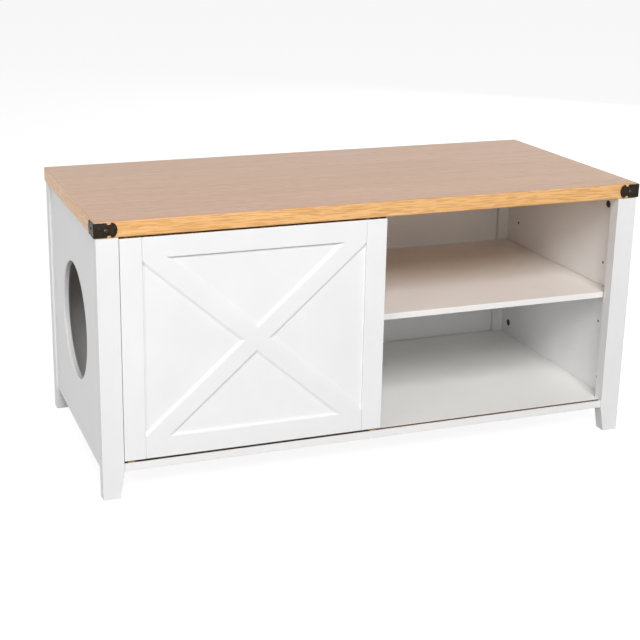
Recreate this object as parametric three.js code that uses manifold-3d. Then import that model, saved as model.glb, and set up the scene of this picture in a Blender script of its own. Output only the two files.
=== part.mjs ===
// Cat litter box cabinet: a low cabinet on four board legs, with a thick oak-look top, a round cat
// hole in its left side, a sliding barn door over one half and an open half with a shelf on pins.
//
// Millimetres. X runs along the front, Y from front to back, Z up. The origin is on the floor,
// under the middle of the top.

import * as THREE from 'three';
import { mergeVertices } from 'three/addons/utils/BufferGeometryUtils.js';
import Module from 'manifold-3d';

const wasm = await Module();
wasm.setup();

// ---------------------------------------------------------------- driving dimensions

const overallHeight = 528;

// Top board
const topWidth = 1100;
const topDepth = 498;
const topThickness = 30;
const topEdgeRadius = 2.5;

// Legs: upright boards, tapered on their inner side below the bottom board
const legWidth = 41;
const legThickness = 25;
const legFootWidth = 32;
const legEdgeRadius = 0.8;
const legSideInset = 2.5; // behind the top's end

// Side panels
const sidePanelThickness = 12;
const sidePanelInset = 4.3; // behind the legs' outer sides
const sidePanelClearance = 47.5; // above the floor
const catHoleDiameter = 232;
const catHoleEdgeRadius = 3;

// Bottom board, partition and back panel
const floorHeight = 67.2; // the bottom board's upper face
const floorThickness = 15;
const floorSetback = 2.5; // behind the front legs' faces
const partitionThickness = 15;
const partitionSetback = 1; // behind the front legs
const partitionHousingDepth = 2; // in the bottom board
const backPanelThickness = 5;
const backPanelSetback = 10; // behind the rear legs' front faces
const backPanelGap = 5; // behind the bottom board and the partition
const backGrooveDepth = 8;

// Shelf and its pins
const shelfThickness = 12;
const shelfEdgeRadius = 0.8;
const shelfEndGap = 1;
const shelfFrontSetback = 4.5; // behind the front legs
const shelfRearGap = 2; // in front of the rear legs
const pinDiameter = 5;
const pinDepth = 8; // in the panel
const pinReach = 8; // out of the panel
const pinRows = 3;
const pinRowPitch = 64;
const lowestPinHeight = 217.4;
const pinInset = 48; // from the legs

// Sliding door
const doorThickness = 16;
const doorSetback = 0.3; // behind the front legs' faces
const doorEndGap = 1;
const doorOverlap = 5.6; // past the cabinet's middle
const doorTopGap = 2.5;
const doorBottomGap = 5.3;
const doorEdgeRadius = 0.8;
const stileWidth = 40.6;
const railWidth = 41;
const tongueThickness = 6;
const tongueLength = 8;
const braceWidth = 36.5; // halfway down its rounded flanks
const braceInset = 21; // from the stile to where a brace's centre line meets a rail
const braceFlankWidth = 8;
const railFlankWidth = 3;
const pocketDepth = 4.5;
const pocketOverrun = 1; // past the panel's side, so that a pocket is open to the stile

// Glides below the door and guide pins above it
const runnerWidth = 6.4;
const runnerInset = 13.8; // from the door's side to the middle of a runner
const runnerDepth = 14; // in the door's edge
const glideLength = 13;
const glideStemDiameter = 6;
const guidePinReach = 7;
const floorGrooveDepth = 7;
const topGrooveDepth = 8;

// Cam fittings that draw the side panels against the legs
const camDiameter = 15;
const camThickness = 10;
const upperCamInset = 46; // from the panel's edge
const lowerCamInset = 29.5;
const upperCamDrop = 27.4; // below the panel's top
const lowerCamRise = 49.2; // above the panel's foot
const camSlotLength = 9;
const camSlotWidth = 1.8;
const camSlotDepth = 2;
const boltThreadDiameter = 6;
const boltThreadLength = 11;
const boltShankDiameter = 4.6;
const boltNeckDiameter = 3;
const boltNeckLength = 5;
const boltHeadDiameter = 6;
const boltHeadLength = 3;

// Dowels and screws
const dowelDiameter = 8;
const dowelLength = 30;
const dowelChamfer = 1;
const sideDowelDepth = 8; // in the side panel
const topDowelDepth = 12; // in the top board
const floorDowelY = 120;
const partitionFixingY = 150;
const screwLength = 45;
const screwDiameter = 4;
const screwHeadDiameter = 8;
const screwHeadHeight = 3;

// Corner brackets and their nails
const bracketLength = 43;
const bracketHeight = 26.6;
const bracketThickness = 1.2;
const bracketEndLength = 9.6;
const bracketBiteRadius = 4;
const bracketBiteInset = 15; // from the flange's end
const nailInset = 20.5; // from the corner
const nailHeadDiameter = 6;
const nailHeadHeight = 1.8;
const nailShankDiameter = 2;
const nailLength = 13;

// Clearances
const gap = 0.3; // between faces that meet
const boreGap = 0.3; // all round a fastener

// ---------------------------------------------------------------- planes and levels

const legTop = overallHeight - topThickness;
const legOuterX = topWidth / 2 - legSideInset;
const legInnerX = legOuterX - legWidth;
const legMiddleX = (legOuterX + legInnerX) / 2;
const legFaceY = topDepth / 2;
const legBackY = legFaceY - legThickness;
const legMiddleY = (legFaceY + legBackY) / 2;
const boardTop = legTop - gap;

const sideOuterX = legOuterX - sidePanelInset;
const sideInnerX = sideOuterX - sidePanelThickness;
const sideMiddleX = (sideOuterX + sideInnerX) / 2;
const sideEndY = legBackY - gap;

const floorUnderside = floorHeight - floorThickness;
const floorMiddleZ = floorHeight - floorThickness / 2;
const backPanelY = legBackY + backPanelSetback;
const backPanelReach = legInnerX + backGrooveDepth - gap;
const boardRearY = backPanelY - backPanelGap;
const partitionFrontY = -legBackY + partitionSetback;
const shelfFrontY = -legBackY + shelfFrontSetback;

const doorFrontY = -legFaceY + doorSetback;
const doorRearY = doorFrontY + doorThickness;
const doorMiddleY = (doorFrontY + doorRearY) / 2;
const doorLeftX = -legInnerX + doorEndGap;
const doorRightX = doorOverlap;
const doorBottom = floorHeight + doorBottomGap;
const doorTop = legTop - doorTopGap;
const doorPanelLeftX = doorLeftX + stileWidth + gap / 2;
const doorPanelRightX = doorRightX - stileWidth - gap / 2;

const sides = [{ name: 'left', sign: -1 }, { name: 'right', sign: 1 }];
const ends = [{ name: 'front', sign: -1 }, { name: 'rear', sign: 1 }];
const corners = sides.flatMap((side) => ends.map((end) => ({ side, end, name: `${side.name}_${end.name}` })));

// ---------------------------------------------------------------- places of the fittings

const camPlaces = corners.flatMap(({ side, end, name }) => [
  { side, end, name: `${name}_upper`, inset: upperCamInset, z: boardTop - upperCamDrop },
  { side, end, name: `${name}_lower`, inset: lowerCamInset, z: sidePanelClearance + lowerCamRise },
]);

const topDowelPlaces = [
  ...corners.map(({ side, end, name }) => (
    { name: `top_dowel_${name}`, x: side.sign * legMiddleX, y: end.sign * legMiddleY }
  )),
  ...ends.map((end) => ({ name: `partition_dowel_${end.name}`, x: 0, y: end.sign * partitionFixingY })),
];

const pinHeights = Array.from({ length: pinRows }, (_, row) => lowestPinHeight + row * pinRowPitch);
const shelfPinHeight = pinHeights[1];
const pinY = legBackY - pinInset;
const shelfHolders = { left: partitionThickness / 2, right: sideInnerX };
const shelfUnderside = shelfPinHeight + pinDiameter / 2 + gap;

const nailHeight = legTop + topThickness / 2;
const bracketFace = gap + bracketThickness; // from the top board to the bracket's outer face
const nailPlaces = sides.flatMap((side) => [
  { side, face: 'front', x: side.sign * (topWidth / 2 - nailInset), y: -topDepth / 2 },
  { side, face: 'side', x: side.sign * (topWidth / 2), y: -topDepth / 2 + nailInset },
]);

// ---------------------------------------------------------------- finishes

const finishes = {
  oakFoil: { color: 0xd9a877, roughness: 0.5, metalness: 0 },
  whiteFoil: { color: 0xf1f1f0, roughness: 0.45, metalness: 0 },
  blackIron: { color: 0x2d2820, roughness: 0.5, metalness: 0.7 },
  nylon: { color: 0xb39a63, roughness: 0.55, metalness: 0 },
  castZinc: { color: 0x55504a, roughness: 0.45, metalness: 0.8 },
  brightSteel: { color: 0xb8bcc0, roughness: 0.35, metalness: 0.9 },
  beech: { color: 0xd3b483, roughness: 0.7, metalness: 0 },
};

// ---------------------------------------------------------------- solids

function solidOf(geometry) {
  const bare = geometry.clone();
  bare.deleteAttribute('normal');
  bare.deleteAttribute('uv');
  const merged = mergeVertices(bare, 1e-4);
  const indices = merged.index.array;
  const triangles = [];
  for (let i = 0; i < indices.length; i += 3) {
    const triangle = indices.slice(i, i + 3);
    if (new Set(triangle).size === 3) triangles.push(...triangle);
  }
  return new wasm.Manifold(new wasm.Mesh({
    numProp: 3,
    vertProperties: merged.getAttribute('position').array,
    triVerts: new Uint32Array(triangles),
  }));
}

function geometryOf(solid) {
  const mesh = solid.getMesh();
  const geometry = new THREE.BufferGeometry();
  geometry.setAttribute('position', new THREE.BufferAttribute(mesh.vertProperties, 3));
  geometry.setIndex(new THREE.BufferAttribute(mesh.triVerts, 1));
  geometry.computeVertexNormals();
  return geometry;
}

function cut(geometry, cutters) {
  return geometryOf(cutters.reduce((solid, cutter) => solid.subtract(solidOf(cutter)), solidOf(geometry)));
}

function join(parts) {
  return geometryOf(parts.map(solidOf).reduce((solid, part) => solid.add(part)));
}

function mirroredInX(geometry) {
  return geometryOf(solidOf(geometry).mirror([1, 0, 0]));
}

// A box between two planes of each axis, given in either order.
function slab(xs, ys, zs) {
  const spans = [xs, ys, zs];
  const geometry = new THREE.BoxGeometry(...spans.map(([from, to]) => Math.abs(to - from)));
  return geometry.translate(...spans.map(([from, to]) => (from + to) / 2));
}

// A round bar along an axis, centred on a point.
function rod(axis, diameter, length, centre, facets = 12) {
  const geometry = new THREE.CylinderGeometry(diameter / 2, diameter / 2, length, facets);
  if (axis === 'x') geometry.rotateZ(Math.PI / 2);
  if (axis === 'z') geometry.rotateX(Math.PI / 2);
  return geometry.translate(...centre);
}

// A cutter for a fastener's hole. It is centred on the hole's mouth, so it needs no direction.
function bore(axis, diameter, depth, mouth, facets) {
  return rod(axis, diameter + 2 * boreGap, 2 * (depth + gap), mouth, facets);
}

// A solid turned from pairs of radius and height along Y, listed from the bottom up.
function turned(profile, facets = 12) {
  return geometryOf(solidOf(new THREE.LatheGeometry(profile.map(([r, h]) => new THREE.Vector2(r, h)), facets)));
}

function polygon(points) {
  return new THREE.Shape(points.map(([u, v]) => new THREE.Vector2(u, v)));
}

function rectangle([u0, u1], [v0, v1]) {
  return polygon([[u0, v0], [u1, v0], [u1, v1], [u0, v1]]);
}

// A shape raised along Z from height z, with its upper and lower edges rounded.
function raised(shape, z, height, radius) {
  const geometry = new THREE.ExtrudeGeometry(shape, {
    depth: height - 2 * radius,
    bevelEnabled: radius > 0,
    bevelThickness: radius,
    bevelSize: radius,
    bevelOffset: -radius,
    bevelSegments: 3,
  });
  return geometry.translate(0, 0, z + radius);
}

// A shape drawn in X and Z, made a board from frontY to rearY with rounded edges.
function upright(shape, frontY, rearY, radius) {
  return raised(shape, -rearY, rearY - frontY, radius).rotateX(Math.PI / 2);
}

// ---------------------------------------------------------------- the tree

const cabinet = new THREE.Group();

function addPiece(name, geometry, finish) {
  const mesh = new THREE.Mesh(geometry, new THREE.MeshStandardMaterial(finishes[finish]));
  mesh.name = name;
  cabinet.add(mesh);
}

// ---------------------------------------------------------------- top board

// Its underside has stopped grooves for the door's guide pins and for the back panel.
function addTopBoard() {
  const halfWidth = topWidth / 2;
  const halfDepth = topDepth / 2;
  const plan = rectangle([-halfWidth, halfWidth], [-halfDepth, halfDepth]);
  const guideGroove = slab(
    [-legInnerX, legInnerX],
    [doorMiddleY - runnerWidth / 2 - gap, doorMiddleY + runnerWidth / 2 + gap],
    [legTop - 1, legTop + topGrooveDepth],
  );
  const backGroove = slab(
    [-backPanelReach - gap, backPanelReach + gap],
    [backPanelY - gap, backPanelY + backPanelThickness + gap],
    [legTop - 1, legTop + backGrooveDepth],
  );
  const dowelHoles = topDowelPlaces.map(({ x, y }) => bore('z', dowelDiameter, topDowelDepth, [x, y, legTop]));
  const nailHoles = nailPlaces.map(({ face, x, y }) => (
    bore(face === 'front' ? 'y' : 'x', nailShankDiameter, nailLength - bracketFace, [x, y, nailHeight])
  ));
  const board = raised(plan, legTop, topThickness, topEdgeRadius);
  addPiece('top_board', cut(board, [guideGroove, backGroove, ...dowelHoles, ...nailHoles]), 'oakFoil');
}

// ---------------------------------------------------------------- corner brackets

// One flange, drawn from the corner outwards: straight edges with a round bite in each, then a
// half-oval end.
function bracketFlange() {
  const halfHeight = bracketHeight / 2;
  const biteU = bracketLength - bracketBiteInset;
  const endU = bracketLength - bracketEndLength;
  const shape = new THREE.Shape();
  shape.moveTo(0, -halfHeight);
  shape.absarc(biteU, -halfHeight, bracketBiteRadius, Math.PI, 0, true);
  shape.absellipse(endU, 0, bracketEndLength, halfHeight, -Math.PI / 2, Math.PI / 2, false);
  shape.absarc(biteU, halfHeight, bracketBiteRadius, 0, Math.PI, true);
  shape.lineTo(0, halfHeight);
  const hole = new THREE.Path();
  hole.absarc(nailInset + bracketFace, 0, nailShankDiameter / 2 + boreGap, 0, 2 * Math.PI, true);
  shape.holes.push(hole);
  return new THREE.ExtrudeGeometry(shape, { depth: bracketThickness, bevelEnabled: false, curveSegments: 8 });
}

// The flange is stood up on the board's front, and a second one is turned round the corner.
function addCornerBracket(side) {
  const flange = bracketFlange().rotateX(Math.PI / 2);
  const frontFlange = flange.clone().translate(0, bracketThickness, 0);
  const sideFlange = flange.clone().rotateZ(Math.PI / 2);
  const angle = join([frontFlange, sideFlange]);
  angle.translate(-topWidth / 2 - bracketFace, -topDepth / 2 - bracketFace, nailHeight);
  addPiece(`corner_bracket_${side.name}`, side.name === 'left' ? angle : mirroredInX(angle), 'blackIron');
}

// Nails with a domed head, driven through the brackets into the board.
function addBracketNails() {
  const headRadius = nailHeadDiameter / 2;
  const shankRadius = nailShankDiameter / 2;
  const dome = [90, 60, 30, 0].map((degrees) => {
    const angle = THREE.MathUtils.degToRad(degrees);
    return [headRadius * Math.cos(angle), -nailHeadHeight * Math.sin(angle)];
  });
  const nail = turned([...dome, [shankRadius, 0], [shankRadius, nailLength - 2], [0, nailLength]]);
  const headSeat = bracketFace + gap;
  for (const { side, face, x, y } of nailPlaces) {
    const placed = nail.clone();
    if (face === 'front') {
      placed.translate(x, y - headSeat, nailHeight);
    } else {
      placed.rotateZ(side.sign * Math.PI / 2).translate(x + side.sign * headSeat, y, nailHeight);
    }
    addPiece(`bracket_nail_${side.name}_${face}`, placed, 'blackIron');
  }
}

// ---------------------------------------------------------------- legs

// Each leg takes two cam bolts from its side panel and a dowel from the top. The rear ones hold the
// back panel in a groove.
function addLeg({ side, end }) {
  const outline = polygon([
    [legOuterX - legFootWidth, 0], [legOuterX, 0], [legOuterX, boardTop],
    [legInnerX, boardTop], [legInnerX, floorUnderside],
  ].map(([x, z]) => [side.sign * x, z]));
  const [frontY, rearY] = end.name === 'front' ? [-legFaceY, -legBackY] : [legBackY, legFaceY];
  const boltHoles = camPlaces.filter((cam) => cam.side === side && cam.end === end).map((cam) => (
    bore('y', boltThreadDiameter, boltThreadLength, [side.sign * sideMiddleX, end.sign * legBackY, cam.z])
  ));
  const dowelMouth = [side.sign * legMiddleX, end.sign * legMiddleY, legTop];
  const cutters = [...boltHoles, bore('z', dowelDiameter, dowelLength - topDowelDepth, dowelMouth)];
  if (end.name === 'rear') {
    cutters.push(slab(
      [side.sign * (legInnerX - 1), side.sign * (backPanelReach + gap)],
      [backPanelY - gap, backPanelY + backPanelThickness + gap],
      [floorUnderside - gap, overallHeight],
    ));
  }
  addPiece(`leg_${end.name}_${side.name}`, cut(upright(outline, frontY, rearY, legEdgeRadius), cutters), 'whiteFoil');
}

// ---------------------------------------------------------------- side panels

function pinHoles(holderX) {
  return pinHeights.flatMap((z) => ends.map((end) => (
    bore('x', pinDiameter, pinDepth, [holderX, end.sign * pinY, z])
  )));
}

// The cat hole's cutter, turned about X. It flares by a quarter circle to round both rims.
function catHoleCutter() {
  const radius = catHoleDiameter / 2;
  const mouth = radius + catHoleEdgeRadius;
  const half = sidePanelThickness / 2;
  const rim = [0, 22.5, 45, 67.5, 90].map((degrees) => {
    const angle = THREE.MathUtils.degToRad(degrees);
    return [mouth - catHoleEdgeRadius * Math.cos(angle), half - catHoleEdgeRadius * (1 - Math.sin(angle))];
  });
  const lowerRim = rim.map(([r, h]) => [r, -h]).reverse();
  return turned(
    [[0, -half - 1], [mouth, -half - 1], ...lowerRim, ...rim, [mouth, half + 1], [0, half + 1]],
    64,
  ).rotateZ(Math.PI / 2);
}

// The left panel has the cat hole in its middle, the right one holes for the shelf pins.
function addSidePanel(side) {
  const innerX = side.sign * sideInnerX;
  const middleX = side.sign * sideMiddleX;
  const cutters = [];
  for (const { end, inset, z } of camPlaces.filter((cam) => cam.side === side)) {
    cutters.push(bore('x', camDiameter, camThickness, [innerX, end.sign * (sideEndY - inset), z], 20));
    cutters.push(bore('y', boltHeadDiameter, inset, [middleX, end.sign * sideEndY, z]));
  }
  for (const end of ends) {
    cutters.push(bore('x', dowelDiameter, sideDowelDepth, [innerX, end.sign * floorDowelY, floorMiddleZ]));
  }
  if (side.name === 'left') {
    cutters.push(catHoleCutter().translate(middleX, 0, (sidePanelClearance + boardTop) / 2));
  } else {
    cutters.push(...pinHoles(innerX));
  }
  const board = slab([innerX, side.sign * sideOuterX], [-sideEndY, sideEndY], [sidePanelClearance, boardTop]);
  addPiece(`side_panel_${side.name}`, cut(board, cutters), 'whiteFoil');
}

// ---------------------------------------------------------------- cam fittings

// Turned from the head in the cam, past the leg's face at height 0, to the thread in the leg.
function camBolt(inset) {
  const headEnd = -inset - gap;
  const neckStart = headEnd + boltHeadLength;
  const shankStart = neckStart + boltNeckLength;
  const [head, neck, shank, thread] = [
    boltHeadDiameter, boltNeckDiameter, boltShankDiameter, boltThreadDiameter,
  ].map((diameter) => diameter / 2);
  return turned([
    [0, headEnd], [head, headEnd], [head, neckStart], [neck, neckStart], [neck, shankStart],
    [shank, shankStart], [shank, 0], [thread, 0], [thread, boltThreadLength - 2],
    [thread - 1, boltThreadLength], [0, boltThreadLength],
  ]);
}

// A cam lock with its cross recess at x = 0 and the bolt's hole on its rear side.
function camLock() {
  const slots = [[camSlotLength, camSlotWidth], [camSlotWidth, camSlotLength]].map(([y, z]) => (
    slab([-1, camSlotDepth], [-y / 2, y / 2], [-z / 2, z / 2])
  ));
  const rim = [sideMiddleX - sideInnerX, camDiameter / 2, 0];
  const boltHole = bore('y', boltHeadDiameter, camDiameter / 2, rim);
  return cut(rod('x', camDiameter, camThickness, [camThickness / 2, 0, 0], 20), [...slots, boltHole]);
}

// Each lock lies in its bore with the cross recess showing, and its bolt's head ends in its middle.
function addCamFittings() {
  const lock = camLock();
  for (const { side, end, name, inset, z } of camPlaces) {
    const placedLock = lock.clone();
    if (side.sign * end.sign < 0) placedLock.rotateX(Math.PI);
    if (side.name === 'left') placedLock.rotateZ(Math.PI);
    placedLock.translate(side.sign * sideInnerX, end.sign * (sideEndY - inset), z);
    addPiece(`cam_${name}`, placedLock, 'castZinc');

    const bolt = camBolt(inset);
    if (end.name === 'front') bolt.rotateZ(Math.PI);
    bolt.translate(side.sign * sideMiddleX, end.sign * legBackY, z);
    addPiece(`cam_bolt_${name}`, bolt, 'brightSteel');
  }
}

// ---------------------------------------------------------------- bottom board and partition

// A countersunk screw pointing up from its head at height 0, or with a clearance, its cutter.
function screw(clearance) {
  const head = screwHeadDiameter / 2 + clearance;
  const shank = screwDiameter / 2 + clearance;
  return turned([
    [0, -clearance], [head, -clearance], [head, 0.6], [shank, screwHeadHeight],
    [shank, screwLength - 3], [0, screwLength + clearance],
  ]).rotateX(Math.PI / 2);
}

function screwAt(end, clearance) {
  return screw(clearance).translate(0, end.sign * partitionFixingY, floorUnderside);
}

// Notched round the four legs. The door's running groove lies close behind its front edge, and a
// shallow housing, open to the rear, seats the partition.
function addBottomBoard() {
  const [endX, notchX, notchY] = [sideInnerX - gap, legInnerX - gap, legBackY - gap];
  const frontY = -legFaceY + floorSetback;
  const plan = polygon([
    [-notchX, frontY], [notchX, frontY], [notchX, -notchY], [endX, -notchY],
    [endX, notchY], [notchX, notchY], [notchX, boardRearY], [-notchX, boardRearY],
    [-notchX, notchY], [-endX, notchY], [-endX, -notchY], [-notchX, -notchY],
  ]);
  const groove = slab(
    [-legOuterX, legOuterX],
    [doorMiddleY - runnerWidth / 2 - gap, doorMiddleY + runnerWidth / 2 + gap],
    [floorHeight - floorGrooveDepth, floorHeight + 1],
  );
  const housing = slab(
    [-partitionThickness / 2 - gap, partitionThickness / 2 + gap],
    [partitionFrontY - gap, boardRearY + 1],
    [floorHeight - partitionHousingDepth, floorHeight + 1],
  );
  const dowelHoles = corners.map(({ side, end }) => {
    const mouth = [side.sign * sideInnerX, end.sign * floorDowelY, floorMiddleZ];
    return bore('x', dowelDiameter, dowelLength - sideDowelDepth, mouth);
  });
  const screwHoles = ends.map((end) => screwAt(end, boreGap));
  const board = raised(plan, floorUnderside, floorThickness, 0);
  addPiece('bottom_board', cut(board, [groove, housing, ...dowelHoles, ...screwHoles]), 'whiteFoil');
}

// Stands between the door's side and the open side, and carries the shelf's left end.
function addPartition() {
  const faceX = partitionThickness / 2;
  const foot = floorHeight - partitionHousingDepth + gap;
  const board = slab([-faceX, faceX], [partitionFrontY, boardRearY], [foot, boardTop]);
  const fixings = ends.flatMap((end) => [
    bore('z', dowelDiameter, dowelLength - topDowelDepth, [0, end.sign * partitionFixingY, legTop]),
    screwAt(end, boreGap),
  ]);
  addPiece('partition', cut(board, [...pinHoles(faceX), ...fixings]), 'whiteFoil');
}

function addPartitionScrews() {
  for (const end of ends) addPiece(`partition_screw_${end.name}`, screwAt(end, 0), 'brightSteel');
}

// ---------------------------------------------------------------- back panel and shelf

function addBackPanel() {
  addPiece('back_panel', slab(
    [-backPanelReach, backPanelReach],
    [backPanelY, backPanelY + backPanelThickness],
    [floorUnderside, legTop + backGrooveDepth - gap],
  ), 'whiteFoil');
}

function addShelf() {
  const plan = rectangle(
    [shelfHolders.left + shelfEndGap, shelfHolders.right - shelfEndGap],
    [shelfFrontY, legBackY - shelfRearGap],
  );
  addPiece('shelf', raised(plan, shelfUnderside, shelfThickness, shelfEdgeRadius), 'whiteFoil');
}

function addShelfPins() {
  const radius = pinDiameter / 2;
  const pin = turned([
    [0, -pinDepth], [radius - 1, -pinDepth], [radius, 1 - pinDepth],
    [radius, pinReach - 0.5], [radius - 0.5, pinReach], [0, pinReach],
  ]);
  for (const { side, end, name } of corners) {
    const placed = pin.clone().rotateZ(side.sign * Math.PI / 2);
    placed.translate(shelfHolders[side.name], end.sign * pinY, shelfPinHeight);
    addPiece(`shelf_pin_${name}`, placed, 'brightSteel');
  }
}

// ---------------------------------------------------------------- dowels

function dowel() {
  const radius = dowelDiameter / 2;
  const half = dowelLength / 2;
  return turned([
    [0, -half], [radius - dowelChamfer, -half], [radius, dowelChamfer - half],
    [radius, half - dowelChamfer], [radius - dowelChamfer, half], [0, half],
  ]);
}

function addDowels() {
  const standing = dowel().rotateX(Math.PI / 2).translate(0, 0, legTop + topDowelDepth - dowelLength / 2);
  for (const { name, x, y } of topDowelPlaces) {
    addPiece(name, standing.clone().translate(x, y, 0), 'beech');
  }
  const lying = dowel().rotateZ(Math.PI / 2);
  const middleX = sideInnerX + sideDowelDepth - dowelLength / 2;
  for (const { side, end, name } of corners) {
    const placed = lying.clone().translate(side.sign * middleX, end.sign * floorDowelY, floorMiddleZ);
    addPiece(`bottom_dowel_${name}`, placed, 'beech');
  }
}

// ---------------------------------------------------------------- sliding door

// A stile has a groove for the middle panel's tongue, and holes for a glide and a guide pin.
function addDoorStile(side) {
  const outerX = side.name === 'left' ? doorLeftX : doorRightX;
  const innerX = outerX - side.sign * (stileWidth - gap / 2);
  const groove = slab(
    [innerX - side.sign, innerX + side.sign * tongueLength],
    [doorMiddleY - tongueThickness / 2 - gap, doorMiddleY + tongueThickness / 2 + gap],
    [doorBottom - 1, doorTop + 1],
  );
  const runnerX = outerX - side.sign * runnerInset;
  const glideHole = bore('z', glideStemDiameter, runnerDepth, [runnerX, doorMiddleY, doorBottom]);
  const pinHole = bore('z', runnerWidth, runnerDepth, [runnerX, doorMiddleY, doorTop]);
  const board = upright(rectangle([outerX, innerX], [doorBottom, doorTop]), doorFrontY, doorRearY, doorEdgeRadius);
  addPiece(`door_stile_${side.name}`, cut(board, [groove, glideHole, pinHole]), 'whiteFoil');
}

// The middle panel is one board. Four triangular pockets are routed into its face, and what is left
// between them are the two rails and the crossed braces.
function addDoorPanel() {
  const face = rectangle([doorPanelLeftX, doorPanelRightX], [doorBottom, doorTop]);
  const board = upright(face, doorFrontY, doorRearY, doorEdgeRadius);
  const tongues = slab(
    [doorPanelLeftX - tongueLength, doorPanelRightX + tongueLength],
    [doorMiddleY - tongueThickness / 2, doorMiddleY + tongueThickness / 2],
    [doorBottom + doorEdgeRadius, doorTop - doorEdgeRadius],
  );
  addPiece('door_panel', cut(join([board, tongues]), pocketOutlines().map(pocketCutter)), 'whiteFoil');
}

// The pockets' outlines in X and Z, found where the braces' edges meet the stiles and the rails.
// Each runs anticlockwise from its corner at the braces' crossing.
function pocketOutlines() {
  const halfPanel = (doorPanelRightX - doorPanelLeftX) / 2;
  const halfWidth = halfPanel + pocketOverrun;
  const halfHeight = (doorTop - doorBottom) / 2 - railWidth;
  const run = halfPanel - braceInset;
  const slope = halfHeight / run;
  const apexX = braceWidth / 2 * Math.hypot(run, halfHeight) / halfHeight;
  const apexZ = apexX * slope;
  const baseX = (halfHeight - apexZ) / slope;
  const baseZ = (halfWidth - apexX) * slope;
  const middle = new THREE.Vector2((doorPanelLeftX + doorPanelRightX) / 2, (doorTop + doorBottom) / 2);
  return [
    { corners: [[0, apexZ], [baseX, halfHeight], [-baseX, halfHeight]], baseFlank: railFlankWidth },
    { corners: [[0, -apexZ], [-baseX, -halfHeight], [baseX, -halfHeight]], baseFlank: railFlankWidth },
    { corners: [[-apexX, 0], [-halfWidth, baseZ], [-halfWidth, -baseZ]], baseFlank: 0 },
    { corners: [[apexX, 0], [halfWidth, -baseZ], [halfWidth, baseZ]], baseFlank: 0 },
  ].map(({ corners, baseFlank }) => ({
    outline: corners.map(([x, z]) => new THREE.Vector2(x, z).add(middle)),
    flankWidths: [braceFlankWidth, baseFlank, braceFlankWidth],
  }));
}

// An outline with each side moved inwards by its own inset. A corner moves along both its sides, by
// as much as each side's inset asks of the other.
function drawnIn(outline, insets) {
  const along = outline.map((corner, i) => outline[(i + 1) % outline.length].clone().sub(corner).normalize());
  return outline.map((corner, i) => {
    const before = (i + outline.length - 1) % outline.length;
    const turn = along[before].cross(along[i]);
    return corner.clone()
      .addScaledVector(along[i], insets[before] / turn)
      .addScaledVector(along[before], -insets[i] / turn);
  });
}

// A closed solid through rings of equally many points, listed from the door's face inwards.
function lofted(rings) {
  const count = rings[0].length;
  const last = (rings.length - 1) * count;
  const index = [];
  for (let start = 0; start < last; start += count) {
    for (let i = 0; i < count; i++) {
      const a = start + i;
      const b = start + (i + 1) % count;
      index.push(a, b + count, b, a, a + count, b + count);
    }
  }
  for (let i = 1; i < count - 1; i++) index.push(0, i, i + 1, last, last + i + 1, last + i);
  const geometry = new THREE.BufferGeometry().setFromPoints(rings.flat());
  return geometry.setIndex(index);
}

// A pocket's cutter. Its flanks fall from the door's face to the pocket's floor in half a cosine
// wave, so both the rim and the foot are rounded. The outline lies halfway down.
function pocketCutter({ outline, flankWidths }) {
  const ring = (share, y) => drawnIn(outline, flankWidths.map((width) => width * (share - 0.5)))
    .map((corner) => new THREE.Vector3(corner.x, y, corner.y));
  const flank = [0, 1, 2, 3, 4, 5, 6, 7, 8].map((step) => {
    const share = step / 8;
    return ring(share, doorFrontY + pocketDepth / 2 * (1 - Math.cos(Math.PI * share)));
  });
  return lofted([ring(0, doorFrontY - 1), ...flank]);
}

// ---------------------------------------------------------------- door running gear

// A glide hangs in the bottom board's groove, on a stem in the stile. A guide pin stands in the top
// board's groove.
function addDoorRunners(side) {
  const x = side.name === 'left' ? doorLeftX + runnerInset : doorRightX - runnerInset;
  const glideFoot = floorHeight - floorGrooveDepth + gap;
  const glideBody = slab(
    [x - glideLength / 2, x + glideLength / 2],
    [doorMiddleY - runnerWidth / 2, doorMiddleY + runnerWidth / 2],
    [glideFoot, doorBottom - gap],
  );
  const stemTop = doorBottom + runnerDepth;
  const stemLength = stemTop - glideFoot - 1;
  const stem = rod('z', glideStemDiameter, stemLength, [x, doorMiddleY, stemTop - stemLength / 2]);
  addPiece(`door_glide_${side.name}`, join([glideBody, stem]), 'nylon');

  const radius = runnerWidth / 2;
  const pin = turned([
    [0, -runnerDepth], [radius - 1, -runnerDepth], [radius, 1 - runnerDepth],
    [radius, guidePinReach - 1.5], [radius - 1.5, guidePinReach], [0, guidePinReach],
  ]);
  addPiece(`door_guide_pin_${side.name}`, pin.rotateX(Math.PI / 2).translate(x, doorMiddleY, doorTop), 'nylon');
}

// ---------------------------------------------------------------- assembly

addTopBoard();
sides.forEach(addCornerBracket);
addBracketNails();
corners.forEach(addLeg);
sides.forEach(addSidePanel);
addCamFittings();
addBottomBoard();
addPartition();
addPartitionScrews();
addBackPanel();
addShelf();
addShelfPins();
addDowels();
sides.forEach(addDoorStile);
addDoorPanel();
sides.forEach(addDoorRunners);

export default cabinet;
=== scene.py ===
import math

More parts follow.
